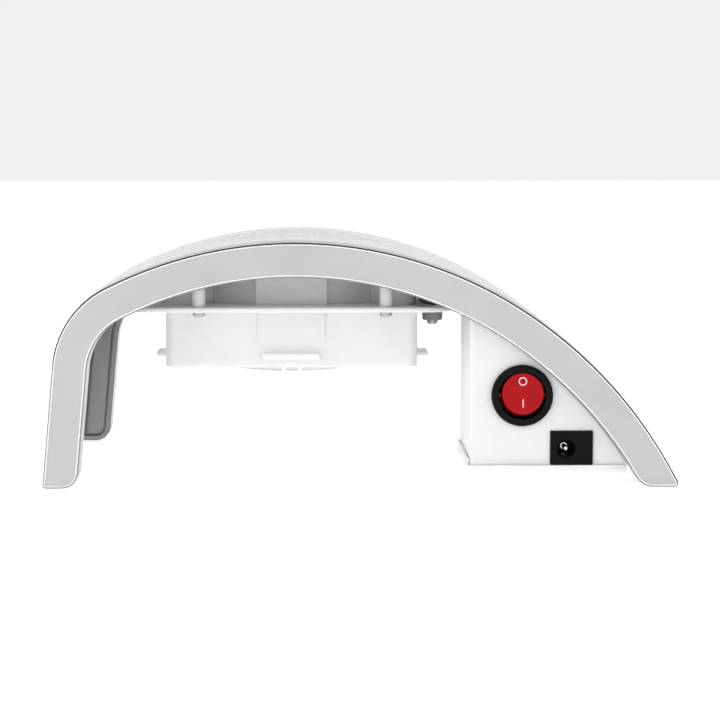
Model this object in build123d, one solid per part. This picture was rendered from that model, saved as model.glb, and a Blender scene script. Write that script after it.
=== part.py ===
from build123d import *
from math import cos, radians, sin, sqrt
import os

# Arched tabletop nail dust collector: a white hand-rest arch between two silver side
# frames, a box fan hung beneath the crown and a switch box under the long slope.
# Millimetres. +X to the long slope, -Y to the switch side, +Z up, feet on z = 0.

# ---- driving dimensions -------------------------------------------------------------
DEPTH = 150.0               # front face to rear face
FRAME_DEPTH = 12.0          # each silver side frame, along Y
FRAME_BAND = 12.8           # width of the frame's band
SHELL_PROUD = 0.6           # shell stands this far outside the frames
SHELL_WALL = 2.4
FOOT_CORNERS = [1.2, 6.2, 7.5, 1.3]     # corner radii of the feet, from left to right

ARCH_LEFT = -117.93         # foot of the short leg at z = 0
LEG_LEAN = 84.7             # degrees from the floor
LEG_LENGTH = 45.8
SHOULDER_RADIUS, SHOULDER_TURN = 35.7, 57.8
CROWN_RADIUS, CROWN_TURN = 155.2, 59.7
SLOPE_RADIUS, SLOPE_TURN = 167.7, 30.7

FAN_X = -25.7               # vertical axis of the fan and its duct
FAN_SIZE = 92.0             # square slim axial fan
FAN_THICKNESS = 15.0
FAN_BORE_R = 44.0
FAN_HOLE_PITCH = 82.5

PLATE_BOTTOM, PLATE_TOP = 64.0, 66.0
BUSHING_HEIGHT = 5.0
HOUSING_SIZE = 96.0
HOUSING_BOTTOM = 42.3
HOUSING_FLOOR = 2.0
OUTLET_R = 41.2             # round air outlet in the housing's floor

BOX_LEFT, BOX_RIGHT = 41.0, 100.0
BOX_FRONT, BOX_BACK = -67.0, -12.0
BOX_WALL = 2.0
LID_BOTTOM, LID_TOP = 4.0, 7.3

SWITCH_X, SWITCH_Z = 60.6, 33.5
SWITCH_BEZEL_R = 11.5
SWITCH_BARREL_R = 10.0
ROCKER_TILT = 12.0          # degrees each side of level
JACK_X0, JACK_X1 = 71.3, 87.2
JACK_TOP = 20.1
JACK_HOLE_X, JACK_HOLE_Z = 77.2, 13.4

# ---- worked-out places --------------------------------------------------------------
FRONT = -DEPTH / 2
FRAME_BACK = FRONT + FRAME_DEPTH
SHELL_INSIDE = SHELL_WALL - SHELL_PROUD
HOUSING_FLOOR_TOP = HOUSING_BOTTOM + HOUSING_FLOOR
SEAL_THICKNESS = 0.8
FAN_TOP = PLATE_BOTTOM - SEAL_THICKNESS
FAN_BOTTOM = FAN_TOP - FAN_THICKNESS
FAN_CORNERS = [(FAN_X + sx * FAN_HOLE_PITCH / 2, sy * FAN_HOLE_PITCH / 2)
               for sx in (-1, 1) for sy in (-1, 1)]
PLATE_POSTS = [(x, y) for x in (-60.5, 10.0) for y in (-55.0, 55.0)]
BUSHING_POSTS = [(28.8, y) for y in (-30.0, 30.0)]
LID_SCREWS = [(45.5, -62.2), (45.5, -16.8), (91.0, -62.2), (95.5, -16.8)]
LEAD_R = 0.8                # one insulated core
CABLE_R = 1.6               # the black two-core fan cable
LEAD_EXIT_X = 19.2          # cores climb here, between the fan's bore and its outside
RED_LEAD_Y, BLACK_LEAD_Y = -8.85, -7.15
CABLE_Y = -56.0             # the cable crosses the plate's front edge here
CABLE_HEIGHT = PLATE_TOP + 2.2
CABLE_BEND = Vector(48.3, CABLE_Y, CABLE_HEIGHT)
CABLE_END = Vector(48.8, -44.0, 50.0)
CORE_OFFSET = Vector(-0.85, 0, 0)


# ---- small helpers ------------------------------------------------------------------
def block(x0, x1, y0, y1, z0, z1):
    centre = Pos((x0 + x1) / 2, (y0 + y1) / 2, (z0 + z1) / 2)
    return centre * Box(x1 - x0, y1 - y0, z1 - z0)


def disc(radius, z0, z1, x=FAN_X, y=0.0):
    return Pos(x, y, (z0 + z1) / 2) * Cylinder(radius, z1 - z0)


def ring(outer, inner, z0, z1, x=FAN_X, y=0.0):
    return disc(outer, z0, z1, x, y) - disc(inner, z0 - 1, z1 + 1, x, y)


def rod_y(radius, y0, y1, x, z):
    return Pos(x, (y0 + y1) / 2, z) * Rot(90, 0, 0) * Cylinder(radius, y1 - y0)


def slab(profile, y0, y1):
    # An XZ profile given thickness from y0 to y1.
    return Pos(0, y1, 0) * Rot(90, 0, 0) * extrude(profile, y1 - y0)


def group(solids):
    return Compound(children=list(solids))


def lead(points, radii, thickness=LEAD_R):
    path = FilletPolyline(*points, radius=radii)
    start = Plane(origin=path @ 0, z_dir=path % 0)
    return sweep(start * Circle(thickness), path=path)


# ---- the arch -----------------------------------------------------------------------
def arch_region(inset):
    # Everything inside the arch line moved inwards by the inset, feet run past z = 0.
    way = Vector(cos(radians(LEG_LEAN)), sin(radians(LEG_LEAN)))
    inward = Vector(way.Y, -way.X)
    foot = Vector(ARCH_LEFT, 0) + inward * inset
    start = foot - way * 6
    leg = Line(start, foot + way * LEG_LENGTH)
    shoulder = JernArc(leg @ 1, leg % 1, SHOULDER_RADIUS - inset, -SHOULDER_TURN)
    crown = JernArc(shoulder @ 1, shoulder % 1, CROWN_RADIUS - inset, -CROWN_TURN)
    slope = JernArc(crown @ 1, crown % 1, SLOPE_RADIUS - inset, -SLOPE_TURN - 4)
    base = Line(slope @ 1, start)
    return make_face([leg, shoulder, crown, slope, base])


def above(height):
    return Pos(0, height + 100) * Rectangle(400, 200)


def frame_band(inset=0.0):
    # The frame's outline, or the same outline drawn in by the inset all round.
    band = (arch_region(inset) - arch_region(FRAME_BAND - inset)) & above(inset)
    for number, radius in enumerate(FOOT_CORNERS):
        floor = band.vertices().filter_by(lambda v: abs(v.Y - inset) < 0.001)
        band = fillet(floor.sort_by(Axis.X)[number], max(radius - inset, 0.3))
    return band


def front_frame():
    bevel, rim, face_drop = 0.5, 0.95, 0.3
    frame = slab(frame_band(), FRONT, FRAME_BACK)
    frame = chamfer(frame.faces().sort_by(Axis.Y)[0].edges(), bevel)
    frame -= slab(frame_band(rim), FRONT - 1, FRONT + face_drop)
    # The inward side is a tray: a rim, a deep groove and a slightly sunk panel.
    rim_back, groove, panel_drop, groove_depth = 1.9, 1.1, 0.8, 3.0
    panel = frame_band(rim_back + groove)
    trough = frame_band(rim_back) - panel
    frame -= slab(trough, FRAME_BACK - groove_depth, FRAME_BACK + 1)
    frame -= slab(panel, FRAME_BACK - panel_drop, FRAME_BACK + 1)
    return frame


def rear_frame():
    return mirror(front_frame(), Plane.XZ)


def intake_holes():
    # Staggered rows of round holes through the crown, inside a circle over the fan.
    pitch, hole_r, field_r = 7.4, 2.1, 36.0
    row_gap = pitch * sqrt(3) / 2
    rows = int(field_r / row_gap) + 1
    holes = []
    for row in range(-rows, rows + 1):
        shift = (row % 2) * pitch / 2
        for column in range(-rows, rows + 1):
            x = column * pitch + shift
            y = row * row_gap
            if x * x + y * y < field_r * field_r:
                holes.append(disc(hole_r, PLATE_TOP + 5, 100, FAN_X + x, y))
    return holes


def arch_shell():
    left_lift, right_lift, end_gap = 1.0, 5.5, 0.05
    profile = (arch_region(-SHELL_PROUD) - arch_region(SHELL_INSIDE)) & above(left_lift)
    profile -= Pos(100, 0) * Rectangle(100, 2 * right_lift)
    shell = slab(profile, FRAME_BACK + end_gap, -FRAME_BACK - end_gap)
    under = slab(arch_region(SHELL_INSIDE - 1), FRAME_BACK + 1, -FRAME_BACK - 1)
    post_r, bushing_post_r, pilot_r = 2.5, 3.4, 1.3
    for x, y in PLATE_POSTS:
        shell += disc(post_r, PLATE_TOP, 100, x, y) & under
    for x, y in BUSHING_POSTS:
        shell += disc(bushing_post_r, PLATE_TOP, 100, x, y) & under
    for x, y in PLATE_POSTS + BUSHING_POSTS:
        shell -= disc(pilot_r, PLATE_TOP - 1, PLATE_TOP + 9, x, y)
    return shell - intake_holes()


# ---- plate and duct -----------------------------------------------------------------
def mounting_plate():
    left, right, half_depth, bow = -88.0, 35.0, 58.5, 1.8
    front_edge = ThreePointArc((left, -half_depth), ((left + right) / 2, -half_depth - bow),
                               (right, -half_depth))
    back_edge = ThreePointArc((right, half_depth), ((left + right) / 2, half_depth + bow),
                              (left, half_depth))
    outline = make_face([front_edge, Line(front_edge @ 1, back_edge @ 0), back_edge,
                         Line(back_edge @ 1, front_edge @ 0)])
    outline = fillet(outline.vertices(), 9.0)
    plate = Pos(0, 0, PLATE_BOTTOM) * extrude(outline, PLATE_TOP - PLATE_BOTTOM)
    rims = plate.edges().filter_by(lambda e: abs(e.center().Z - PLATE_TOP) < 0.01)
    rims += plate.edges().filter_by(lambda e: abs(e.center().Z - PLATE_BOTTOM) < 0.01)
    plate = fillet(rims, 0.8)
    plate -= disc(FAN_BORE_R - 1.5, PLATE_BOTTOM - 1, PLATE_TOP + 1)
    for x, y in PLATE_POSTS + BUSHING_POSTS:
        plate -= disc(1.5, PLATE_BOTTOM - 1, PLATE_TOP + 1, x, y)
    for x, y in FAN_CORNERS:
        plate -= disc(1.7, PLATE_BOTTOM - 1, PLATE_TOP + 1, x, y)
    plate -= lead_slot(PLATE_BOTTOM - 1, PLATE_TOP + 1)
    return plate


def lead_slot(z0, z1):
    return block(LEAD_EXIT_X - 2.1, FAN_X + FAN_SIZE / 2 + 0.01,
                 RED_LEAD_Y - 1.2, BLACK_LEAD_Y + 1.2, z0, z1)


def intake_duct():
    wall, post_r, post_top, roof_gap = 1.5, 6.4, 76.0, 0.15
    flat_width, flat_front = 27.0, -46.0
    outer = FAN_BORE_R
    duct = disc(outer, PLATE_TOP, 100)
    for x, y in FAN_CORNERS:
        duct += disc(post_r, PLATE_TOP, post_top, x, y)
    for turn in (45, -45):
        rib = Pos(FAN_X, 0, (PLATE_TOP + post_top) / 2) * Rot(0, 0, turn)
        duct += rib * Box(sqrt(2) * FAN_HOLE_PITCH, 2.0, post_top - PLATE_TOP)
    duct += block(FAN_X - flat_width / 2, FAN_X + flat_width / 2, flat_front, 0,
                  PLATE_TOP, 100)
    duct -= disc(outer - wall, PLATE_TOP - 1, 101)
    duct &= slab(arch_region(SHELL_INSIDE + roof_gap), FRAME_BACK, -FRAME_BACK)
    for x, y in FAN_CORNERS:
        duct -= disc(1.5, PLATE_TOP - 1, PLATE_TOP + 7, x, y)
    return duct


# ---- fan housing --------------------------------------------------------------------
def rounded_square(size, radius):
    return Pos(FAN_X, 0) * RectangleRounded(size, size, radius)


def fan_housing():
    wall, corner_r = 1.8, 4.0
    height = PLATE_BOTTOM - HOUSING_BOTTOM
    box = Pos(0, 0, HOUSING_BOTTOM) * extrude(rounded_square(HOUSING_SIZE, corner_r), height)
    box = fillet(box.edges().filter_by(lambda e: abs(e.center().Z - HOUSING_BOTTOM) < 0.01), 0.6)
    hollow = rounded_square(HOUSING_SIZE - 2 * wall, corner_r - wall)
    box -= Pos(0, 0, HOUSING_FLOOR_TOP) * extrude(hollow, height)
    column_r, head_r, head_seat = 5.0, 3.3, HOUSING_BOTTOM + 2.8
    for x, y in FAN_CORNERS:
        box += disc(column_r, HOUSING_FLOOR_TOP - 0.5, FAN_BOTTOM, x, y)
    box -= disc(OUTLET_R, HOUSING_BOTTOM - 1, FAN_BOTTOM - 0.5)
    for x, y in FAN_CORNERS:
        box -= disc(head_r, HOUSING_BOTTOM - 1, head_seat, x, y)
        box -= disc(1.6, head_seat - 1, FAN_BOTTOM + 1, x, y)
    return box + front_ledge() + side_lugs() - latch_slits()


def front_ledge():
    # Finger ledge that holds the mouth of the dust bag at the front.
    width, reach, low, high = 22.0, 3.5, 45.5, 47.8
    face = -HOUSING_SIZE / 2
    ledge = block(FAN_X - width / 2, FAN_X + width / 2, face - reach, face + 0.5, low, high)
    tips = ledge.edges().filter_by(Axis.Z).sort_by(Axis.Y)[0:2]
    ledge = fillet(tips, 1.2)
    return fillet(ledge.faces().sort_by(Axis.Z)[-1].edges(), 0.5)


def side_lugs():
    length, reach, low, high = 20.0, 5.9, 43.2, 44.5
    half = HOUSING_SIZE / 2
    lugs = []
    for side in (-1, 1):
        x = FAN_X + side * half
        lug = block(min(x, x + side * reach), max(x, x + side * reach),
                    -length / 2, length / 2, low, high)
        lug += block(min(x, x + side * 2.4), max(x, x + side * 2.4),
                     length / 2 - 4, length / 2, high - 0.1, high + 1.2)
        tips = lug.edges().filter_by(Axis.Z).filter_by(
            lambda e, tip=x + side * reach: abs(e.center().X - tip) < 0.01)
        lugs.append(fillet(tips, 1.0))
    return lugs


def latch_slits():
    half_width, slit, depth, low = 13.1, 0.25, 0.3, 53.5
    face = -HOUSING_SIZE / 2
    return [block(x - slit / 2, x + slit / 2, face - 1, face + depth, low, PLATE_BOTTOM + 1)
            for x in (FAN_X - half_width, FAN_X + half_width)]


def outlet_guard():
    # Domed guard of rings on crossed pairs of ribs, clipped up into the round outlet.
    drop, base_r, thick = 5.6, 40.4, 1.8
    dome_r = (base_r * base_r + drop * drop) / (2 * drop)
    lowest = HOUSING_BOTTOM - drop
    outer = Pos(FAN_X, 0, lowest + dome_r) * Sphere(dome_r)
    inner = Pos(FAN_X, 0, lowest + dome_r) * Sphere(dome_r - thick)
    cap = (outer - inner) & disc(base_r, lowest - 1, HOUSING_FLOOR_TOP)
    ring_width, ring_gap, rings, rib_offset = 1.6, 7.2, 5, 3.2
    pattern = disc(6.0, lowest - 1, 60)
    for number in range(1, rings + 1):
        radius = 6.0 + number * ring_gap - 2.0
        pattern += ring(radius, radius - ring_width, lowest - 1, 60)
    for turn in (0, 90):
        for side in (-1, 1):
            rib = Pos(FAN_X, 0, 46) * Rot(0, 0, turn) * Pos(0, side * rib_offset, 0)
            pattern += rib * Box(2 * base_r, ring_width, 30)
    rim = ring(OUTLET_R - 0.1, OUTLET_R - 2.4, HOUSING_BOTTOM - 0.2, HOUSING_FLOOR_TOP)
    lip = ring(OUTLET_R + 1.0, OUTLET_R - 2.4, HOUSING_FLOOR_TOP, HOUSING_FLOOR_TOP + 0.8)
    return (cap & pattern) + rim + lip


# ---- the fan ------------------------------------------------------------------------
BASE_TOP = FAN_BOTTOM + 1.5
TUBE_TOP = FAN_BOTTOM + 11.0
BEARINGS_Z = [(FAN_BOTTOM + 2.4, FAN_BOTTOM + 4.9), (FAN_BOTTOM + 8.3, FAN_BOTTOM + 10.8)]
HUB_TOP = FAN_TOP - 1.0
HUB_R = 18.6
SHAFT_R = 1.5
BEARING_R = 3.0
MAGNET_OUTER, MAGNET_INNER = 17.3, 15.3
STATOR_R = 14.4
BLADES = 7


def fan_frame():
    square = Pos(FAN_X, 0, FAN_BOTTOM) * extrude(RectangleRounded(FAN_SIZE, FAN_SIZE, 3.5),
                                                FAN_THICKNESS)
    frame = square - disc(FAN_BORE_R, FAN_BOTTOM - 1, FAN_TOP + 1)
    base_r, strut_width = 19.5, 4.0
    struts = disc(base_r, FAN_BOTTOM, BASE_TOP)
    for turn in (0, 90):
        struts += Pos(FAN_X, 0, (FAN_BOTTOM + BASE_TOP) / 2) * Rot(0, 0, turn + 30) * Box(
            2 * FAN_BORE_R + 0.6, strut_width, BASE_TOP - FAN_BOTTOM)
    frame += struts
    frame += disc(4.2, FAN_BOTTOM, TUBE_TOP)
    frame -= disc(BEARING_R, FAN_BOTTOM + 0.6, TUBE_TOP + 1)
    for x, y in FAN_CORNERS:
        frame -= disc(2.15, FAN_BOTTOM - 1, FAN_TOP + 1, x, y)
    return frame - lead_slot(BASE_TOP, FAN_TOP + 1)


def fan_seal():
    seal = Pos(0, 0, FAN_TOP) * extrude(rounded_square(FAN_SIZE, 3.5), SEAL_THICKNESS)
    seal -= disc(FAN_BORE_R, FAN_TOP - 1, PLATE_BOTTOM + 1)
    for x, y in FAN_CORNERS:
        seal -= disc(2.15, FAN_TOP - 1, PLATE_BOTTOM + 1, x, y)
    return seal - lead_slot(FAN_TOP - 1, PLATE_BOTTOM + 1)


def blade_section(radius, pitch_angle, chord):
    # Thin cambered section, seen along the blade from the hub.
    half = chord / 2
    camber, edge = 0.09 * chord, 0.35
    top = ThreePointArc((-half, edge), (0, camber + 0.8), (half, edge))
    bottom = ThreePointArc((half, -edge), (0, camber - 0.8), (-half, -edge))
    outline = make_face([top, Line(top @ 1, bottom @ 0), bottom, Line(bottom @ 1, top @ 0)])
    middle = (BASE_TOP + HUB_TOP) / 2 + 1.1
    place = Plane(origin=(radius, 0, middle), x_dir=(0, 1, 0), z_dir=(1, 0, 0))
    return place * Rot(0, 0, pitch_angle) * outline


def fan_rotor():
    tip_r, cup_floor, rim_low = FAN_BORE_R - 1.2, 1.4, FAN_BOTTOM + 3.6
    hub = disc(HUB_R, rim_low, HUB_TOP)
    hub = fillet(hub.edges().sort_by(Axis.Z)[-1], 1.0)
    root = blade_section(HUB_R - 3, 40, 13.2)
    tip = blade_section(FAN_BORE_R + 4, 25, 20.5)
    reach = ring(tip_r, HUB_R - 0.6, FAN_BOTTOM + 2.9, FAN_TOP - 0.4, 0)
    blade = loft([root, tip]) & reach
    for number in range(BLADES):
        hub += Pos(FAN_X, 0, 0) * Rot(0, 0, number * 360 / BLADES) * blade
    hub -= disc(MAGNET_OUTER, rim_low - 2, HUB_TOP - cup_floor)
    hub += disc(3.6, TUBE_TOP + 0.4, HUB_TOP - cup_floor + 0.1)
    return hub - disc(SHAFT_R, rim_low - 2, HUB_TOP - 0.6)


def rotor_magnet():
    return ring(MAGNET_OUTER, MAGNET_INNER, FAN_BOTTOM + 4.0, HUB_TOP - 1.5)


def rotor_shaft():
    shaft = disc(SHAFT_R, FAN_BOTTOM + 1.0, HUB_TOP - 0.6)
    groove = ring(SHAFT_R + 1, SHAFT_R - 0.4, FAN_BOTTOM + 1.5, FAN_BOTTOM + 1.9)
    return shaft - groove


def shaft_clip():
    clip = ring(2.6, SHAFT_R - 0.4, FAN_BOTTOM + 1.5, FAN_BOTTOM + 1.9)
    return clip - block(FAN_X, FAN_X + 4, -0.9, 0.9, FAN_BOTTOM, FAN_BOTTOM + 3)


def fan_bearings():
    running_gap = 0.03
    return group([ring(BEARING_R, SHAFT_R + running_gap, z0, z1) for z0, z1 in BEARINGS_Z])


STATOR_LOW, STATOR_HIGH = FAN_BOTTOM + 4.6, FAN_BOTTOM + 8.6
POLE_NECK = 3.4


def stator_core():
    core = ring(6.4, 4.25, STATOR_LOW, STATOR_HIGH)
    middle = (STATOR_LOW + STATOR_HIGH) / 2
    for turn in range(0, 360, 90):
        arm = Pos(FAN_X, 0, middle) * Rot(0, 0, turn)
        core += arm * Pos(9.3, 0, 0) * Box(7.4, POLE_NECK, STATOR_HIGH - STATOR_LOW)
        shoe = ring(STATOR_R, 12.6, STATOR_LOW, STATOR_HIGH)
        window = arm * Pos(11, 0, 0) * Box(10, 17.0, STATOR_HIGH - STATOR_LOW)
        core += shoe & window
    return core


def stator_coils():
    middle = (STATOR_LOW + STATOR_HIGH) / 2
    build_up, length, gap = 1.1, 4.6, 0.1
    height = STATOR_HIGH - STATOR_LOW
    coils = []
    for turn in range(0, 360, 90):
        arm = Pos(FAN_X, 0, middle) * Rot(0, 0, turn) * Pos(9.7, 0, 0)
        wound = Box(length, POLE_NECK + 2 * build_up, height + 2 * build_up)
        wound = fillet(wound.edges().filter_by(Axis.X), 0.8)
        coils.append(arm * (wound - Box(length + 1, POLE_NECK + gap, height + gap)))
    return group(coils)


def motor_board():
    return ring(15.0, 4.5, BASE_TOP + 0.1, BASE_TOP + 1.1)


# ---- fasteners ----------------------------------------------------------------------
def pan_screw(head_r, head_height, shank_r, length):
    # Pan-head screw pointing up, its head's seat at z = 0.
    head = Pos(0, 0, -head_height / 2) * Cylinder(head_r, head_height)
    head = fillet(head.edges().sort_by(Axis.Z)[0], head_height * 0.6)
    slot_depth, slot_width, slot_length = head_height * 0.5, head_r * 0.28, head_r * 1.1
    for turn in (0, 90):
        cross = Rot(0, 0, turn) * Box(slot_length, slot_width, 2 * slot_depth)
        head -= Pos(0, 0, -head_height) * cross
    shank = Pos(0, 0, length / 2) * Cylinder(shank_r, length)
    return head + fillet(shank.edges().sort_by(Axis.Z)[-1], shank_r * 0.5)


def screws(places, seat, head_r, head_height, shank_r, length):
    screw = pan_screw(head_r, head_height, shank_r, length)
    return group([Pos(x, y, seat) * screw for x, y in places])


def plate_screws():
    return screws(PLATE_POSTS, PLATE_BOTTOM, 2.45, 1.7, 1.3, 9.0)


def fan_screws():
    seat = HOUSING_BOTTOM + 2.8
    return screws(FAN_CORNERS, seat, 2.9, 2.0, 1.5, PLATE_TOP + 6.5 - seat)



def plate_bushings():
    bushings = []
    for x, y in BUSHING_POSTS:
        low, high = PLATE_BOTTOM - BUSHING_HEIGHT, PLATE_BOTTOM
        bush = Pos(x, y, (low + high) / 2) * Cone(3.8, 4.2, high - low)
        bush = fillet(bush.edges().sort_by(Axis.Z)[0], 0.5)
        bushings.append(bush - disc(1.4, low - 1, high + 1, x, y))
    return group(bushings)


def bushing_screws():
    return screws(BUSHING_POSTS, PLATE_BOTTOM - BUSHING_HEIGHT, 2.1, 1.6, 1.3, 13.0)


# ---- switch box ---------------------------------------------------------------------
def box_profile(roof, inset=0.0):
    # Room under the slope: the roof is how far it lies inside the arch line.
    left, right = BOX_LEFT + inset, BOX_RIGHT - inset
    room = Pos((left + right) / 2, LID_TOP + 50) * Rectangle(right - left, 100)
    return arch_region(roof + inset) & room


def power_box():
    # Its front tucks inside the frame's band, the rest reaches up to the shell.
    gap = 0.15
    low_roof, high_roof = FRAME_BAND + gap, SHELL_INSIDE + gap
    step = FRAME_BACK + gap
    box = slab(box_profile(low_roof), BOX_FRONT, step + 1)
    upright = box.edges().filter_by(Axis.Z).sort_by(Axis.Y)
    box = fillet([edge for edge in upright if edge.center().X < BOX_LEFT + 1][0], 1.2)
    box += slab(box_profile(high_roof), step, BOX_BACK)
    hollow = slab(box_profile(low_roof, BOX_WALL), BOX_FRONT + BOX_WALL, step + BOX_WALL + 1)
    hollow += slab(box_profile(high_roof, BOX_WALL), step + BOX_WALL, BOX_BACK - BOX_WALL)
    pillars = [disc(3.2, LID_TOP, 32, x, y) & hollow for x, y in LID_SCREWS]
    box = (box - hollow) + pillars
    for x, y in LID_SCREWS:
        box -= disc(1.3, LID_TOP - 1, LID_TOP + 9, x, y)
    box -= rod_y(SWITCH_BARREL_R + 0.1, BOX_FRONT - 1, BOX_FRONT + BOX_WALL + 1,
                 SWITCH_X, SWITCH_Z)
    box -= block(JACK_X0 - 0.1, JACK_X1 + 0.1, BOX_FRONT - 1, BOX_FRONT + BOX_WALL + 0.01,
                 LID_TOP - 1, JACK_TOP + 0.1)
    box -= block(BOX_LEFT - 1, BOX_LEFT + BOX_WALL + 1.0, CABLE_Y - 2.6, CABLE_Y + 2.6,
                 CABLE_HEIGHT - 2.6, CABLE_HEIGHT + 2.6)
    return box


def box_lid():
    left, right = BOX_LEFT - 1.2, BOX_RIGHT
    front, back, bow = BOX_FRONT - 0.4, BOX_BACK + 0.6, 1.4
    front_edge = ThreePointArc((left, front), ((left + right) / 2, front - bow), (right, front))
    side = Line(front_edge @ 1, (right, back))
    rear = Line(side @ 1, (left, back))
    outline = make_face([front_edge, side, rear, Line(rear @ 1, front_edge @ 0)])
    lid = Pos(0, 0, LID_BOTTOM) * extrude(outline, LID_TOP - LID_BOTTOM)
    low_edges = lid.edges().filter_by(lambda e: abs(e.center().Z - LID_BOTTOM) < 0.01)
    lid = fillet(low_edges, 1.0)
    tray = block(left + 3.4, right - 2.4, front + 2.6, back - 2.8, LID_BOTTOM + 1.8, LID_TOP + 1)
    lid -= tray
    post_r = 3.2
    for x, y in LID_SCREWS:
        lid += disc(post_r, LID_BOTTOM + 1.0, LID_TOP, x, y)
    for x, y in LID_SCREWS:
        lid -= disc(2.6, LID_BOTTOM - 1, LID_BOTTOM + 1.9, x, y)
        lid -= disc(1.4, LID_BOTTOM, LID_TOP + 1, x, y)
    rim_height, rim_wall = 2.6, 1.0
    lid += block(left, left + rim_wall, front + 1, back, LID_TOP - 0.5, LID_TOP + rim_height)
    return lid


def lid_screws():
    return screws(LID_SCREWS, LID_BOTTOM + 1.9, 2.3, 1.5, 1.3, 9.0)


# ---- rocker switch ------------------------------------------------------------------
BEZEL_FRONT = BOX_FRONT - 2.0
PIVOT_Y = BEZEL_FRONT + 3.5
BARREL_BACK = BOX_FRONT + 15.0
WELL_R = 8.9
ROCKER_R = 7.7
ROCKER_FACE = 5.8           # pivot to the rocker's face
TRUNNION_R = 1.0
BLADE_PIVOT_Y = PIVOT_Y + 8.4
BLADE_TILT = 8.0
LIVE_TERMINAL_Z = SWITCH_Z + 5.6


def at_pivot(shape):
    # Shapes of the rocker are drawn level about the pivot, then set with the O side in.
    return Pos(SWITCH_X, PIVOT_Y, SWITCH_Z) * Rot(-ROCKER_TILT, 0, 0) * shape


def switch_body():
    body = rod_y(SWITCH_BEZEL_R, BEZEL_FRONT, BOX_FRONT, SWITCH_X, SWITCH_Z)
    body = fillet(body.edges().sort_by(Axis.Y)[0], 0.9)
    body += rod_y(SWITCH_BARREL_R, BOX_FRONT - 0.5, BARREL_BACK, SWITCH_X, SWITCH_Z)
    well_back = PIVOT_Y + 11.2
    body -= rod_y(WELL_R, BEZEL_FRONT - 1, PIVOT_Y + 3.8, SWITCH_X, SWITCH_Z)
    body -= block(SWITCH_X - 3.2, SWITCH_X + 3.2, PIVOT_Y, well_back,
                  SWITCH_Z - 7.6, SWITCH_Z + 7.6)
    trunnion_gap = 0.05
    seat = Pos(SWITCH_X, PIVOT_Y, SWITCH_Z) * Rot(0, 90, 0)
    body -= seat * Cylinder(TRUNNION_R + trunnion_gap, 2 * WELL_R + 1.6)
    for z in (SWITCH_Z, LIVE_TERMINAL_Z):
        body -= block(SWITCH_X - 2.4, SWITCH_X + 2.4, well_back - 1, BARREL_BACK + 1,
                      z - 0.45, z + 0.45)
    for side in (-1, 1):
        wing = block(SWITCH_X - 2, SWITCH_X + 2, BOX_FRONT + BOX_WALL + 0.1, BOX_FRONT + 9, 0, 1.2)
        body += Pos(0, 0, SWITCH_Z + side * (SWITCH_BARREL_R + 0.2) - 0.6) * wing
    return body


def rocker_solid():
    face = -ROCKER_FACE
    solid = rod_y(ROCKER_R, face, 1.6, 0, 0)
    solid = fillet(solid.edges().sort_by(Axis.Y)[0], 0.7)
    dish_r = 70.0
    dish = Pos(0, face - dish_r + 0.45, 0) * Rot(0, 90, 0) * Cylinder(dish_r, 40)
    solid -= dish
    solid += rod_y(2.2, 1.0, 4.4, 0, 0)
    solid += Rot(0, 90, 0) * Cylinder(TRUNNION_R, 2 * WELL_R + 1.0)
    return solid - rod_y(1.3, 0.5, 5.0, 0, 0)


def mark_prisms():
    ring_z, ring_r, bar_z, bar_height, line = 4.5, 1.6, -3.7, 3.0, 0.45
    ring_mark = rod_y(ring_r, -9, -ROCKER_FACE + 0.75, 0, ring_z)
    ring_mark -= rod_y(ring_r - line, -10, 0, 0, ring_z)
    bar = block(-line / 2, line / 2, -9, -ROCKER_FACE + 0.75,
                bar_z - bar_height / 2, bar_z + bar_height / 2)
    return [ring_mark, bar]


def switch_rocker():
    return at_pivot(rocker_solid() - mark_prisms())


def switch_marks():
    solid = rocker_solid()
    return group([at_pivot(mark & solid) for mark in mark_prisms()])


def switch_plunger():
    stem = rod_y(1.2, 2.0, 7.7, 0, 0)
    return at_pivot(fillet(stem.edges().sort_by(Axis.Y)[-1], 1.0))


def switch_spring():
    turns, wire, pitch, middle_r = 3, 0.18, 0.42, 0.95
    coils = [Pos(0, 0.75 + number * pitch, 0) * Rot(90, 0, 0) * Torus(middle_r, wire)
             for number in range(turns)]
    return group([at_pivot(coil) for coil in coils])


def contact_blade():
    # See-saw blade that tips on the middle terminal when the rocker crosses over.
    blade = Box(4.0, 0.5, 12.0)
    tips = [Pos(0, 0.6, z) * Rot(90, 0, 0) * Cylinder(1.0, 0.8) for z in (-5.0, 5.0)]
    blade = blade + tips - Pos(0, 0.25, 0) * Box(5.0, 0.2, 0.9)
    return Pos(SWITCH_X, BLADE_PIVOT_Y, SWITCH_Z) * Rot(BLADE_TILT, 0, 0) * blade


def switch_terminals():
    width, thick, tail = 4.6, 0.8, BARREL_BACK + 8.0
    blades = []
    for z, start in ((SWITCH_Z, BLADE_PIVOT_Y + 1.0), (LIVE_TERMINAL_Z, BLADE_PIVOT_Y + 2.2)):
        tab = block(SWITCH_X - width / 2, SWITCH_X + width / 2, start, tail,
                    z - thick / 2, z + thick / 2)
        tab = chamfer(tab.edges().filter_by(Axis.Z).sort_by(Axis.Y)[-2:], 0.8)
        blades.append(tab - disc(0.9, z - 2, z + 2, SWITCH_X, tail - 3.0))
    return group(blades)


# ---- power inlet --------------------------------------------------------------------
JACK_FRONT = BOX_FRONT - 0.8
JACK_BACK = BOX_FRONT + 13.0
SOCKET_R = 3.15
SOCKET_DEPTH = 9.5
INLET_PIN_R = 1.0
INLET_SHANK_R = 1.25


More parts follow.
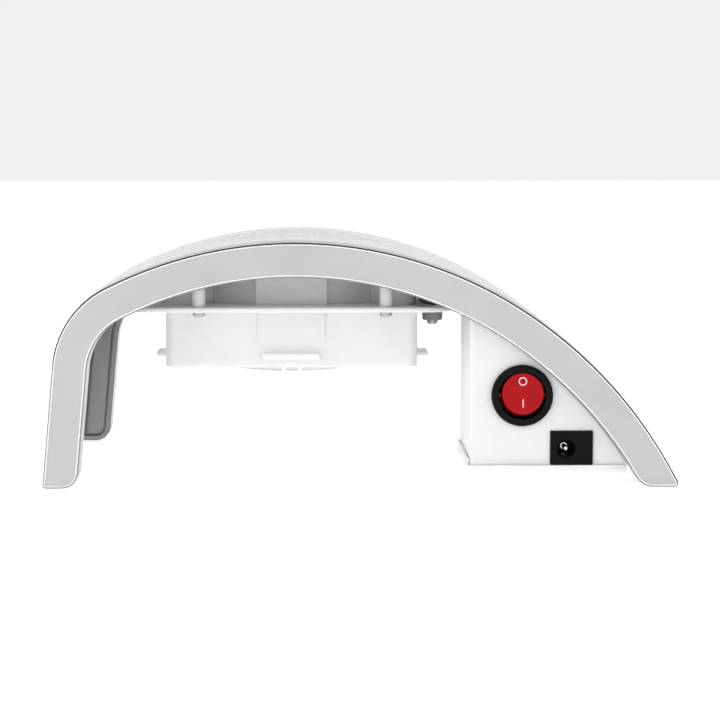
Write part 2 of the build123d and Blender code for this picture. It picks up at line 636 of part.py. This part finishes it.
def dc_jack_body():
    body = block(JACK_X0, JACK_X1, JACK_FRONT, BOX_FRONT + BOX_WALL, LID_TOP, JACK_TOP)
    body = fillet(body.edges().filter_by(Axis.Y), 0.8)
    body = fillet(body.faces().sort_by(Axis.Y)[0].edges(), 0.3)
    body += block(JACK_HOLE_X - 4.6, JACK_HOLE_X + 4.6, BOX_FRONT + 1.5, JACK_BACK,
                  LID_TOP + 1.2, LID_TOP + 11.6)
    body -= rod_y(SOCKET_R, JACK_FRONT - 1, JACK_FRONT + SOCKET_DEPTH, JACK_HOLE_X, JACK_HOLE_Z)
    lead_in = SOCKET_R + 0.5
    mouth = Pos(JACK_HOLE_X, JACK_FRONT, JACK_HOLE_Z) * Rot(90, 0, 0)
    body -= mouth * Cone(SOCKET_R, lead_in + 0.5, 2.0)
    body -= rod_y(INLET_SHANK_R, JACK_FRONT, JACK_BACK + 1, JACK_HOLE_X, JACK_HOLE_Z)
    slot_low = JACK_HOLE_Z - SOCKET_R - 1.4
    return body - block(JACK_HOLE_X - 1.1, JACK_HOLE_X + 1.1, JACK_FRONT + 3.0, JACK_BACK + 1,
                        slot_low, JACK_HOLE_Z - SOCKET_R + 0.4)


def dc_jack_pin():
    socket_floor = JACK_FRONT + SOCKET_DEPTH
    pin = rod_y(INLET_PIN_R, JACK_FRONT + 1.6, socket_floor + 1, JACK_HOLE_X, JACK_HOLE_Z)
    pin = fillet(pin.edges().sort_by(Axis.Y)[0], 0.7)
    return pin + rod_y(INLET_SHANK_R, socket_floor, JACK_BACK + 3.0, JACK_HOLE_X, JACK_HOLE_Z)


def dc_jack_contact():
    # Sprung leaf that bears on the outside of the plug, with its solder tail.
    low = JACK_HOLE_Z - SOCKET_R - 1.2
    leaf = block(JACK_HOLE_X - 1.0, JACK_HOLE_X + 1.0, JACK_FRONT + 3.2, JACK_BACK + 3.0,
                 low, low + 0.5)
    dimple = Pos(JACK_HOLE_X, JACK_FRONT + 5.6, low + 0.5) * Rot(0, 90, 0) * Cylinder(0.9, 2.0)
    keep = block(JACK_HOLE_X - 1, JACK_HOLE_X + 1, JACK_FRONT, JACK_BACK, low, low + 2)
    return leaf + (dimple & keep)


# ---- leads --------------------------------------------------------------------------
TAIL_Y = BARREL_BACK + 6.0
CORE_LOW = BASE_TOP + 0.9
CORE_TOP = PLATE_TOP + 1.0


def fan_cores(y):
    # From the motor board along a strut, then up past the plate to the cable.
    return lead([(FAN_X + 21.0, y, CORE_LOW), (LEAD_EXIT_X, y, CORE_LOW),
                 (LEAD_EXIT_X, y, CORE_TOP)], [3.2])


def fan_cable():
    x, y = LEAD_EXIT_X + 0.2, (RED_LEAD_Y + BLACK_LEAD_Y) / 2
    corner_x = 24.3
    return lead([(x, y, CORE_TOP + 0.05), (x, y, 75.0), (corner_x, -38.0, CABLE_HEIGHT + 0.8),
                 (corner_x, CABLE_Y, CABLE_HEIGHT), CABLE_BEND, CABLE_END],
                [5.0, 5.0, 4.8, 5.4], CABLE_R)


def core_start(side, length):
    # A core's first straight run, in line with the cable that it comes out of.
    heading = (CABLE_END - CABLE_BEND).normalized()
    first = CABLE_END + CORE_OFFSET * side + heading * 0.1
    return [first, first + heading * length]


def red_leads():
    fan_tail, jack_tail = LIVE_TERMINAL_Z + 1.3, SWITCH_Z - 1.3
    switch_lead = lead(
        core_start(-1, 6.0) + [(SWITCH_X, TAIL_Y + 8.0, fan_tail), (SWITCH_X, TAIL_Y, fan_tail)],
        [4.5, 4.0])
    jack_lead = lead(
        [(JACK_HOLE_X, JACK_BACK + 3.0, JACK_HOLE_Z), (JACK_HOLE_X, JACK_BACK + 16.0, JACK_HOLE_Z),
         (SWITCH_X, TAIL_Y + 10.0, jack_tail), (SWITCH_X, TAIL_Y, jack_tail)],
        [6.0, 5.0])
    return group([fan_cores(RED_LEAD_Y), switch_lead, jack_lead])


def black_leads():
    tail_z = JACK_HOLE_Z - SOCKET_R - 1.5
    jack_lead = lead(
        core_start(1, 14.0) + [(72.0, -23.0, 24.0), (JACK_HOLE_X, -33.0, tail_z),
                               (JACK_HOLE_X, JACK_BACK + 3.0, tail_z)],
        [8.0, 8.0, 5.0])
    return group([fan_cores(BLACK_LEAD_Y), jack_lead])


NODES = [arch_shell, front_frame, rear_frame, mounting_plate, intake_duct, fan_housing,
         outlet_guard, fan_frame, fan_seal, fan_rotor, rotor_magnet, rotor_shaft, shaft_clip,
         fan_bearings, stator_core, stator_coils, motor_board, plate_screws, fan_screws,
         plate_bushings, bushing_screws, power_box, box_lid, lid_screws, switch_body,
         switch_rocker, switch_marks, switch_plunger, switch_spring, contact_blade,
         switch_terminals, dc_jack_body, dc_jack_pin, dc_jack_contact, fan_cable, red_leads,
         black_leads]

os.makedirs("parts", exist_ok=True)
for node in NODES:
    export_step(node(), "parts/" + node.__name__ + ".step")
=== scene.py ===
"""Looks of an arched tabletop nail dust collector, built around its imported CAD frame."""

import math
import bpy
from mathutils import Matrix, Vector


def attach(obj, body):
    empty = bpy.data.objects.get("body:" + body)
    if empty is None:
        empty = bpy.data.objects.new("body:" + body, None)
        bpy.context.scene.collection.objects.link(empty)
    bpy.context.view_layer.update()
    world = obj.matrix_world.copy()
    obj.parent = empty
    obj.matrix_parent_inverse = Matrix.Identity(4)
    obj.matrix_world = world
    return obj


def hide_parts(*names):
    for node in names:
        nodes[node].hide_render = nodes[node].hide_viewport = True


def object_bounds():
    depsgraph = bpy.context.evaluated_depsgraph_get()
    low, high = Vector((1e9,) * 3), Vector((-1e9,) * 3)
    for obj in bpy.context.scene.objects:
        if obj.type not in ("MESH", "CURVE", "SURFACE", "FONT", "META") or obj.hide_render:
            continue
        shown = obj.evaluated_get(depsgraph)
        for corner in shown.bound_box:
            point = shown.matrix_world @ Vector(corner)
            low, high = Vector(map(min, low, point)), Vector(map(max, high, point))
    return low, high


bl_info = {
    "name": "Nail Dust Collector",
    "version": (1, 0, 0),
    "blender": (4, 5, 0),
    "location": "View3D > Sidebar > Dust Collector",
    "description": "Finishes an arched nail dust collector and sets its studio stage",
    "category": "Object",
}

import bpy
from bpy.props import FloatProperty, FloatVectorProperty, PointerProperty
from mathutils import Vector

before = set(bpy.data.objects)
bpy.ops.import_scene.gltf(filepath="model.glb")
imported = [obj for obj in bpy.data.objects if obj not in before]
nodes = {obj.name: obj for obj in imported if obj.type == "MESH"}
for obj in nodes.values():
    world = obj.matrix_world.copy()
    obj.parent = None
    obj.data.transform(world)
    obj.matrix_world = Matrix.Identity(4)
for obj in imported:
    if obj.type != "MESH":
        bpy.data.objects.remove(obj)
cad_low, cad_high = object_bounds()

MM = 0.001
FRONT_Y = cad_low[1]
REAR_Y = cad_high[1]
FRAME_DEPTH = 12.0 * MM     # a side frame, from its outer face to its inward face
BEVEL = 0.52 * MM           # depth that a side frame's bevel takes
GROOVE_DEPTH = 3.0 * MM     # groove round the panel on its inward side
FLUSH = 0.02 * MM           # a face this near to a depth counts as lying in it
SLACK = 0.1 * MM            # room left when a face is sorted by its depth
FLAT_ON = 0.95              # how squarely a flat face looks along Y
EDGE_ON = 0.3               # a wall of the frame looks along Y less than this
FULLY_MILKY_MM = 6.0        # a plastic that carries light this far is wholly milky
CARD_INNER, CARD_OUTER = 0.12, 0.24     # half width of the dark card, and of its soft edge
CARD_DARKNESS = 0.97
HORIZON_FADE = 0.1          # the card fades in over this height above the horizon
FLOOR_HALF = 6.0            # half the width of the studio floor, in metres
SOFTBOXES = (               # name, place, width and power of each soft light
    ("left softbox", (-1.1, -1.2, 0.9), 1.2, 5.0),
    ("right softbox", (1.3, -0.9, 0.8), 1.2, 1.5),
    ("top softbox", (0.0, 0.7, 1.6), 1.2, 1.5),
)


# ---- colour and shader nodes ----------------------------------------------------------
def linear(code):
    """Turn an sRGB hex colour into linear red, green, blue and alpha."""
    channels = [int(code[place:place + 2], 16) / 255 for place in (0, 2, 4)]
    steps = [c / 12.92 if c <= 0.04045 else ((c + 0.055) / 1.055) ** 2.4 for c in channels]
    return (*steps, 1.0)


def add(tree, kind, inputs=None, **settings):
    """Add one node, give it its settings, and fill or link its inputs."""
    node = tree.nodes.new(kind)
    for name, value in settings.items():
        setattr(node, name, value)
    for name, value in (inputs or {}).items():
        if isinstance(value, bpy.types.NodeSocket):
            tree.links.new(value, node.inputs[name])
        else:
            node.inputs[name].default_value = value
    return node


def new_material(name):
    """Start a material with an empty node tree and its object coordinates."""
    material = bpy.data.materials.new(name)
    material.use_nodes = True
    tree = material.node_tree
    tree.nodes.clear()
    place = add(tree, "ShaderNodeTexCoord").outputs["Object"]
    return material, tree, place


def grain(tree, place, size_mm, detail=2.0):
    """Noise whose grains are about size_mm across."""
    settings = {"Vector": place, "Scale": 1 / (size_mm * MM), "Detail": detail}
    return add(tree, "ShaderNodeTexNoise", settings).outputs["Fac"]


def spread(tree, value, low, high):
    """Stretch the middle of a noise to run from low to high."""
    limits = {"Value": value, "From Min": 0.3, "From Max": 0.7, "To Min": low, "To Max": high}
    return add(tree, "ShaderNodeMapRange", limits).outputs["Result"]


def bump(tree, height, depth_mm, strength=1.0, under=None):
    """Raise or sink the surface by up to depth_mm."""
    inputs = {"Height": height, "Distance": depth_mm * MM, "Strength": strength}
    if under is not None:
        inputs["Normal"] = under
    return add(tree, "ShaderNodeBump", inputs).outputs["Normal"]


def two_tones(tree, value, dark, light):
    """Blend two hex colours by a value from 0 to 1."""
    colours = {0: value, 6: linear(dark), 7: linear(light)}
    return add(tree, "ShaderNodeMix", colours, data_type="RGBA").outputs[2]


def surface(tree, inputs):
    """Close a material with one principled shader."""
    shader = add(tree, "ShaderNodeBsdfPrincipled", inputs)
    add(tree, "ShaderNodeOutputMaterial", {"Surface": shader.outputs["BSDF"]})


# ---- materials ------------------------------------------------------------------------
def moulded_plastic(name, dark, light, gloss, ior=1.53, grit_mm=0.5, grit_depth=0.010,
                    sheen_level=0.5, depth_mm=0.0):
    """Injection-moulded plastic: its steel mould leaves a fine even grit, and the melt's
    flow leaves slow changes of gloss about a finger's width across. A milky plastic also
    carries light depth_mm inside, which softens its shadows."""
    material, tree, place = new_material(name)
    flow = grain(tree, place, 18.0, 3.0)
    fine = grain(tree, place, grit_mm)
    surface(tree, {
        "Base Color": two_tones(tree, spread(tree, flow, 0.0, 1.0), dark, light),
        "Roughness": spread(tree, flow, gloss - 0.05, gloss + 0.05),
        "IOR": ior,
        "Specular IOR Level": sheen_level,
        "Normal": bump(tree, fine, grit_depth, 0.5),
        "Subsurface Weight": min(depth_mm / FULLY_MILKY_MM, 1.0),
        "Subsurface Radius": (1.0, 1.0, 1.0),
        "Subsurface Scale": depth_mm * MM,
    })
    return material


def white_gloss_abs():
    # Gloss ABS of the arch: clean cold white with a soft sheen, so broad lights blur on it.
    return moulded_plastic("white gloss ABS", "F0F0F0", "F2F2F2", 0.30, 1.53, 0.8, 0.003,
                           depth_mm=3.0)


def white_satin_abs():
    # The hidden mouldings come from a blasted mould: the same white, but flatter.
    return moulded_plastic("white satin ABS", "EAEAEA", "EFEFEF", 0.44, 1.53, 0.45, 0.010,
                           depth_mm=3.0)


def satin_silver_plating():
    """Satin vacuum-metallised ABS: a pale, faintly grained metal skin that reflects only
    soft bands of light and dark."""
    material, tree, place = new_material("satin silver plating")
    flake = grain(tree, place, 0.35, 3.0)
    patch = grain(tree, place, 30.0)
    surface(tree, {
        "Base Color": two_tones(tree, spread(tree, patch, 0.0, 1.0), "C0C0C1", "C8C8C9"),
        "Metallic": 0.9,
        "Roughness": spread(tree, flake, 0.36, 0.46),
        "Normal": bump(tree, flake, 0.006, 0.35),
    })
    return material


def bright_silver_plating():
    """The flat rim's plating is left bright: it mirrors the studio as a hard white line."""
    material, tree, place = new_material("bright silver plating")
    smear = grain(tree, place, 9.0, 3.0)
    surface(tree, {
        "Base Color": linear("ECECEE"),
        "Metallic": 1.0,
        "Roughness": spread(tree, smear, 0.05, 0.13),
    })
    return material


def bevel_painted_dark():
    """Diamond-cut bevel: bare metal that mirrors the dark cards as a thin line; its darker base
    colour is painted reflection that deepens that dark line.
    """
    material, tree, place = new_material("bevel plating painted dark")
    smear = grain(tree, place, 6.0, 3.0)
    surface(tree, {
        # painted reflection: this dark grey darkens the bevel's line beyond what it mirrors
        "Base Color": linear("8C8C90"),
        "Metallic": 1.0,
        "Roughness": spread(tree, smear, 0.06, 0.14),
    })
    return material


def inner_plating_painted_shade():
    """Painted shade on the frame's inward side: the same plating made a dull, warmer and darker
    grey, standing in for the shade that falls there.
    """
    material, tree, place = new_material("inner plating darkened as painted shade")
    flake = grain(tree, place, 0.4, 3.0)
    patch = grain(tree, place, 14.0, 3.0)
    surface(tree, {
        # painted shade: the dull, warmer grey stands in for the shade on the inward side
        "Base Color": two_tones(tree, spread(tree, patch, 0.0, 1.0), "8A8788", "969394"),
        "Metallic": 0.85,
        "Roughness": spread(tree, flake, 0.34, 0.46),
        "Normal": bump(tree, flake, 0.01, 0.35),
    })
    return material


def fan_pbt():
    # Glass-filled PBT: black, dull, and faintly streaked where the glass fibres lie.
    return moulded_plastic("black glass-filled PBT", "0C0C0D", "151516", 0.52, 1.57, 0.35, 0.02,
                           0.25)


def bezel_nylon():
    # Nylon of the switch: black with a soft spark-eroded sheen, whose pits swallow light.
    return moulded_plastic("black switch nylon", "050505", "0A0A0B", 0.40, 1.53, 0.30, 0.012,
                           0.12)


def inlet_pbt():
    # PBT of the power inlet: black, smoother than the switch.
    return moulded_plastic("black inlet PBT", "050505", "090909", 0.42, 1.57, 0.25, 0.008, 0.10)


def red_polycarbonate():
    """Tinted polycarbonate of the rocker: clear red with a fine pebble that breaks up
    its highlights."""
    material, tree, place = new_material("red polycarbonate")
    pebble = grain(tree, place, 0.55, 2.0)
    patch = grain(tree, place, 5.0, 3.0)
    surface(tree, {
        "Base Color": two_tones(tree, spread(tree, patch, 0.0, 1.0), "A5060C", "B3090F"),
        "Roughness": spread(tree, pebble, 0.28, 0.40),
        "IOR": 1.585,
        "Specular IOR Level": 0.15,
        "Normal": bump(tree, pebble, 0.02, 0.5),
    })
    return material


def pad_print_ink():
    # Pad-printed ink: thin and slightly pink, because the red shows through it.
    return moulded_plastic("pale pad-print ink", "F0C6CB", "F6D6DA", 0.42, 1.5, 0.4, 0.006)


def closed_cell_foam():
    # Neoprene foam of the seal: dull charcoal with open cut cells.
    return moulded_plastic("charcoal neoprene foam", "1B1B1C", "262627", 0.85, 1.5, 0.6, 0.12)


def grey_rubber():
    # Moulded rubber of the bushings: mid grey and almost without gloss.
    return moulded_plastic("grey moulded rubber", "7F7F82", "8D8D90", 0.62, 1.52, 0.4, 0.03)


def pvc_sheath(name, dark, light):
    # Extruded PVC: smooth along the cable, with a waxy sheen.
    return moulded_plastic(name, dark, light, 0.38, 1.54, 1.2, 0.010)


def metal(name, dark, light, low, high, grain_mm=0.4, depth=0.004):
    """Bare or plated metal: its tumbling or stamping leaves fine marks in its gloss."""
    material, tree, place = new_material(name)
    marks = grain(tree, place, grain_mm, 3.0)
    patch = grain(tree, place, 4.0, 2.0)
    surface(tree, {
        "Base Color": two_tones(tree, spread(tree, patch, 0.0, 1.0), dark, light),
        "Metallic": 1.0,
        "Roughness": spread(tree, marks, low, high),
        "Normal": bump(tree, marks, depth, 0.4),
    })
    return material


def nickel_plated_steel():
    # Screws and shaft: nickel over steel, a warm grey metal worn smooth by tumbling.
    return metal("nickel-plated steel", "A3A29F", "BBBAB7", 0.16, 0.26)


def stamped_brass():
    # Terminals and contact leaves: yellow brass with faint rolling marks.
    return metal("stamped brass", "B4924E", "CDAA62", 0.24, 0.38)


def bright_nickel():
    # The inlet's centre pin: turned brass under bright nickel.
    return metal("bright nickel plate", "CFCDC8", "E2E0DC", 0.08, 0.16)


def enamelled_copper():
    # Magnet wire: copper seen through a clear amber enamel.
    return metal("enamelled copper wire", "8A3F1C", "B2592C", 0.20, 0.32, 0.3)


def varnished_laminations():
    # Electrical steel under thin varnish: dark, with the edges of its sheets showing.
    return metal("varnished steel laminations", "4C4D50", "6A6B6E", 0.35, 0.5, 0.5, 0.02)


def bonded_ferrite():
    # Plastic-bonded ferrite: charcoal and dull.
    return moulded_plastic("bonded ferrite", "202123", "2C2D30", 0.6, 1.6, 0.3, 0.02)


def solder_mask():
    # Glass-epoxy board under green solder mask: glossy, faintly woven.
    return moulded_plastic("green solder mask", "0B3B1C", "14522A", 0.28, 1.55, 0.5, 0.02)


# ---- helpers on the frame's nodes -----------------------------------------------------
def dress(material, *names):
    """Give CAD nodes one finish."""
    for name in names:
        slots = nodes[name].data.materials
        slots.clear()
        slots.append(material)


def settings():
    """The sizes and colours that a user can change."""
    return bpy.context.scene.nail_dust_collector


# ---- what a user can change -----------------------------------------------------------
class StageSettings(bpy.types.PropertyGroup):
    """Where the camera stands and how bright the studio is."""

    camera_distance: FloatProperty(
        name="Camera Distance", description="From the object's front face to the camera",
        default=0.850, unit="LENGTH")
    camera_height: FloatProperty(
        name="Camera Height", description="Height of the camera over the table",
        default=0.1295, unit="LENGTH")
    camera_side: FloatProperty(
        name="Camera Side", description="How far right of the object's middle the camera stands",
        default=-0.0172, unit="LENGTH")
    camera_pitch: FloatProperty(
        name="Camera Pitch", description="How far the camera looks down",
        default=math.radians(5.497), subtype="ANGLE")
    camera_turn: FloatProperty(
        name="Camera Turn", description="How far the camera turns to the right",
        default=math.radians(1.148), subtype="ANGLE")
    lens: FloatProperty(
        name="Lens", description="Focal length on a 36 mm sensor", default=115.66)
    walls: FloatProperty(
        name="Walls", description="Brightness of the studio's white walls", default=0.88)
    table_glow: FloatProperty(
        name="Table Glow", description="Light that comes up through the table", default=0.50)
    floor_colour: FloatVectorProperty(
        name="Floor Colour", description="Colour of the studio floor",
        default=linear("FBFBFB")[:3], subtype="COLOR", size=3)


# ---- operators ------------------------------------------------------------------------
class NAIL_OT_arch(bpy.types.Operator):
    """Finish the arch shell, the mounting plate and the intake duct"""

    bl_idname = "nail.arch"
    bl_label = "Arch Shell"

    def execute(self, context):
        dress(white_gloss_abs(), "arch_shell")
        dress(white_satin_abs(), "mounting_plate", "intake_duct")
        return {"FINISHED"}


class NAIL_OT_side_frames(bpy.types.Operator):
    """Finish the two silver side frames: satin face, bright rim, a bevel whose dark line is
    partly painted reflection, and a back darkened with painted shade
    """

    bl_idname = "nail.side_frames"
    bl_label = "Side Frames"

    def execute(self, context):
        finishes = (satin_silver_plating(), bright_silver_plating(), bevel_painted_dark(),
                    inner_plating_painted_shade())
        for name, outside in (("front_frame", FRONT_Y), ("rear_frame", REAR_Y)):
            mesh = nodes[name].data.copy()
            mesh.materials.clear()
            for finish in finishes:
                mesh.materials.append(finish)
            for face in mesh.polygons:
                face.material_index = frame_finish(face, outside)
            piece = bpy.data.objects.new(name.replace("frame", "side_frame"), mesh)
            context.scene.collection.objects.link(piece)
            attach(piece, "casing")
            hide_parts(name)
        return {"FINISHED"}


def frame_finish(face, outside):
    """Which finish a face of a side frame has, by its depth and the way it looks."""
    satin, bright, bevel, inner = range(4)
    depth = abs(face.center.y - outside)
    slant = abs(face.normal.y)
    in_groove = depth > FRAME_DEPTH - GROOVE_DEPTH - SLACK
    if depth < FLUSH:
        return bright
    # bevel faces: a dark line, partly the mirrored dark card and partly painted dark reflection
    if depth < BEVEL and EDGE_ON < slant < FLAT_ON:
        return bevel
    # back and groove faces take the inner plating, whose darker grey is painted shade
    if in_groove and (slant > FLAT_ON or depth < FRAME_DEPTH - 2 * SLACK):
        return inner
    return satin


class NAIL_OT_fan_box(bpy.types.Operator):
    """Finish the fan's box and its outlet guard"""

    bl_idname = "nail.fan_box"
    bl_label = "Fan Box"

    def execute(self, context):
        dress(white_satin_abs(), "fan_housing", "outlet_guard")
        return {"FINISHED"}


class NAIL_OT_fan(bpy.types.Operator):
    """Finish the fan, its rotor and its motor"""

    bl_idname = "nail.fan"
    bl_label = "Fan"

    def execute(self, context):
        dress(fan_pbt(), "fan_frame", "fan_rotor")
        dress(closed_cell_foam(), "fan_seal")
        dress(bonded_ferrite(), "rotor_magnet")
        dress(nickel_plated_steel(), "rotor_shaft", "shaft_clip", "fan_bearings")
        dress(varnished_laminations(), "stator_core")
        dress(enamelled_copper(), "stator_coils")
        dress(solder_mask(), "motor_board")
        return {"FINISHED"}


class NAIL_OT_switch_box(bpy.types.Operator):
    """Finish the switch box and its lid"""

    bl_idname = "nail.switch_box"
    bl_label = "Switch Box"

    def execute(self, context):
        dress(white_satin_abs(), "power_box", "box_lid")
        return {"FINISHED"}


class NAIL_OT_switch(bpy.types.Operator):
    """Finish the rocker switch, inside and out"""

    bl_idname = "nail.switch"
    bl_label = "Rocker Switch"

    def execute(self, context):
        dress(bezel_nylon(), "switch_body", "switch_plunger")
        dress(red_polycarbonate(), "switch_rocker")
        dress(pad_print_ink(), "switch_marks")
        dress(nickel_plated_steel(), "switch_spring")
        dress(stamped_brass(), "contact_blade", "switch_terminals")
        return {"FINISHED"}


class NAIL_OT_inlet(bpy.types.Operator):
    """Finish the power inlet and the leads"""

    bl_idname = "nail.inlet"
    bl_label = "Power Inlet and Leads"

    def execute(self, context):
        dress(inlet_pbt(), "dc_jack_body")
        dress(bright_nickel(), "dc_jack_pin")
        dress(stamped_brass(), "dc_jack_contact")
        dress(pvc_sheath("black PVC sheath", "141415", "1D1D1E"), "fan_cable", "black_leads")
        dress(pvc_sheath("red PVC insulation", "9C1518", "B01C1F"), "red_leads")
        return {"FINISHED"}


class NAIL_OT_fasteners(bpy.types.Operator):
    """Finish the screws and the rubber bushings"""

    bl_idname = "nail.fasteners"
    bl_label = "Screws and Bushings"

    def execute(self, context):
        dress(nickel_plated_steel(), "plate_screws", "fan_screws", "bushing_screws", "lid_screws")
        dress(grey_rubber(), "plate_bushings")
        return {"FINISHED"}


class NAIL_OT_stage(bpy.types.Operator):
    """Lay the pale floor, hang the soft lights and place the camera"""

    bl_idname = "nail.stage"
    bl_label = "Studio Stage"

    def execute(self, context):
        lay_floor(context)
        light_studio(context)
        place_camera(context)
        return {"FINISHED"}


def lay_floor(context):
    """A light table: a broad opal sheet, lit faintly from below, that keeps shadows thin."""
    half = FLOOR_HALF
    mesh = bpy.data.meshes.new("floor")
    corners = [(-half, -half, 0), (half, -half, 0), (half, half, 0), (-half, half, 0)]
    mesh.from_pydata(corners, [], [(0, 1, 2, 3)])
    floor = bpy.data.objects.new("studio_floor", mesh)
    context.scene.collection.objects.link(floor)
    material, tree, place = new_material("opal acrylic sheet")
    fine = grain(tree, place, 0.6, 3.0)
    surface(tree, {
        "Base Color": (*settings().floor_colour, 1.0),
        "Roughness": spread(tree, fine, 0.80, 0.90),
        "Emission Color": (1, 1, 1, 1),
        "Emission Strength": settings().table_glow,
    })
    mesh.materials.append(material)


def softbox(context, name, place, size, power, target=Vector((0, 0, 0.05))):
    """A square soft light turned to the target."""
    light = bpy.data.lights.new(name, "AREA")
    light.shape = "SQUARE"
    light.size = size
    light.energy = power
    lamp = bpy.data.objects.new(name, light)
    lamp.location = place
    lamp.rotation_euler = (target - Vector(place)).to_track_quat("-Z", "Y").to_euler()
    context.scene.collection.objects.link(lamp)


def light_studio(context):
    """White walls all round, a dark card over the object from side to side, three softboxes."""
    world = bpy.data.worlds.new("studio walls")
    world.use_nodes = True
    tree = world.node_tree
    tree.nodes.clear()
    direction = add(tree, "ShaderNodeTexCoord").outputs["Generated"]
    axes = add(tree, "ShaderNodeSeparateXYZ", {"Vector": direction}).outputs
    aside = add(tree, "ShaderNodeMath", {0: axes["Y"]}, operation="ABSOLUTE").outputs["Value"]
    beside = add(tree, "ShaderNodeMapRange", {
        "Value": aside, "From Min": CARD_INNER, "From Max": CARD_OUTER, "To Min": 1.0,
        "To Max": 0.0,
    }, interpolation_type="SMOOTHSTEP").outputs["Result"]
    raised = add(tree, "ShaderNodeMapRange", {
        "Value": axes["Z"], "From Min": 0.0, "From Max": HORIZON_FADE, "To Min": 0.0,
        "To Max": CARD_DARKNESS,
    }).outputs["Result"]
    card = add(tree, "ShaderNodeMath", {0: beside, 1: raised}, operation="MULTIPLY")
    open_wall = add(tree, "ShaderNodeMath", {0: 1.0, 1: card.outputs["Value"]},
                    operation="SUBTRACT")
    level = add(tree, "ShaderNodeMath", {0: open_wall.outputs["Value"], 1: settings().walls},
                operation="MULTIPLY")
    glow = add(tree, "ShaderNodeBackground", {
        "Color": (1, 1, 1, 1), "Strength": level.outputs["Value"]})
    add(tree, "ShaderNodeOutputWorld", {"Surface": glow.outputs["Background"]})
    context.scene.world = world
    for name, place, size, power in SOFTBOXES:
        softbox(context, name, place, size, power)
    context.scene.view_settings.view_transform = "Standard"


def place_camera(context):
    """Look at the switch side from the front, slightly from above."""
    stage = settings()
    camera = bpy.data.objects.new("studio camera", bpy.data.cameras.new("studio camera"))
    camera.data.lens = stage.lens
    camera.location = (stage.camera_side, FRONT_Y - stage.camera_distance, stage.camera_height)
    camera.rotation_euler = (math.radians(90) - stage.camera_pitch, 0, -stage.camera_turn)
    context.scene.collection.objects.link(camera)
    context.scene.camera = camera


# ---- panel and registration -----------------------------------------------------------
STEPS = (NAIL_OT_arch, NAIL_OT_side_frames, NAIL_OT_fan_box, NAIL_OT_fan, NAIL_OT_switch_box,
         NAIL_OT_switch, NAIL_OT_inlet, NAIL_OT_fasteners, NAIL_OT_stage)


class NAIL_PT_panel(bpy.types.Panel):
    """Sidebar panel that lists the pieces"""

    bl_label = "Nail Dust Collector"
    bl_space_type = "VIEW_3D"
    bl_region_type = "UI"
    bl_category = "Dust Collector"

    def draw(self, context):
        for step in STEPS:
            self.layout.operator(step.bl_idname)
        stage = settings()
        for name in stage.bl_rna.properties.keys():
            if name not in ("rna_type", "name"):
                self.layout.prop(stage, name)


CLASSES = (StageSettings, *STEPS, NAIL_PT_panel)


def register():
    for cls in CLASSES:
        bpy.utils.register_class(cls)
    bpy.types.Scene.nail_dust_collector = PointerProperty(type=StageSettings)


def unregister():
    del bpy.types.Scene.nail_dust_collector
    for cls in reversed(CLASSES):
        bpy.utils.unregister_class(cls)


def main():
    register()
    for step in STEPS:
        group, name = step.bl_idname.split(".")
        getattr(getattr(bpy.ops, group), name)()


if __name__ == "__main__":
    main()
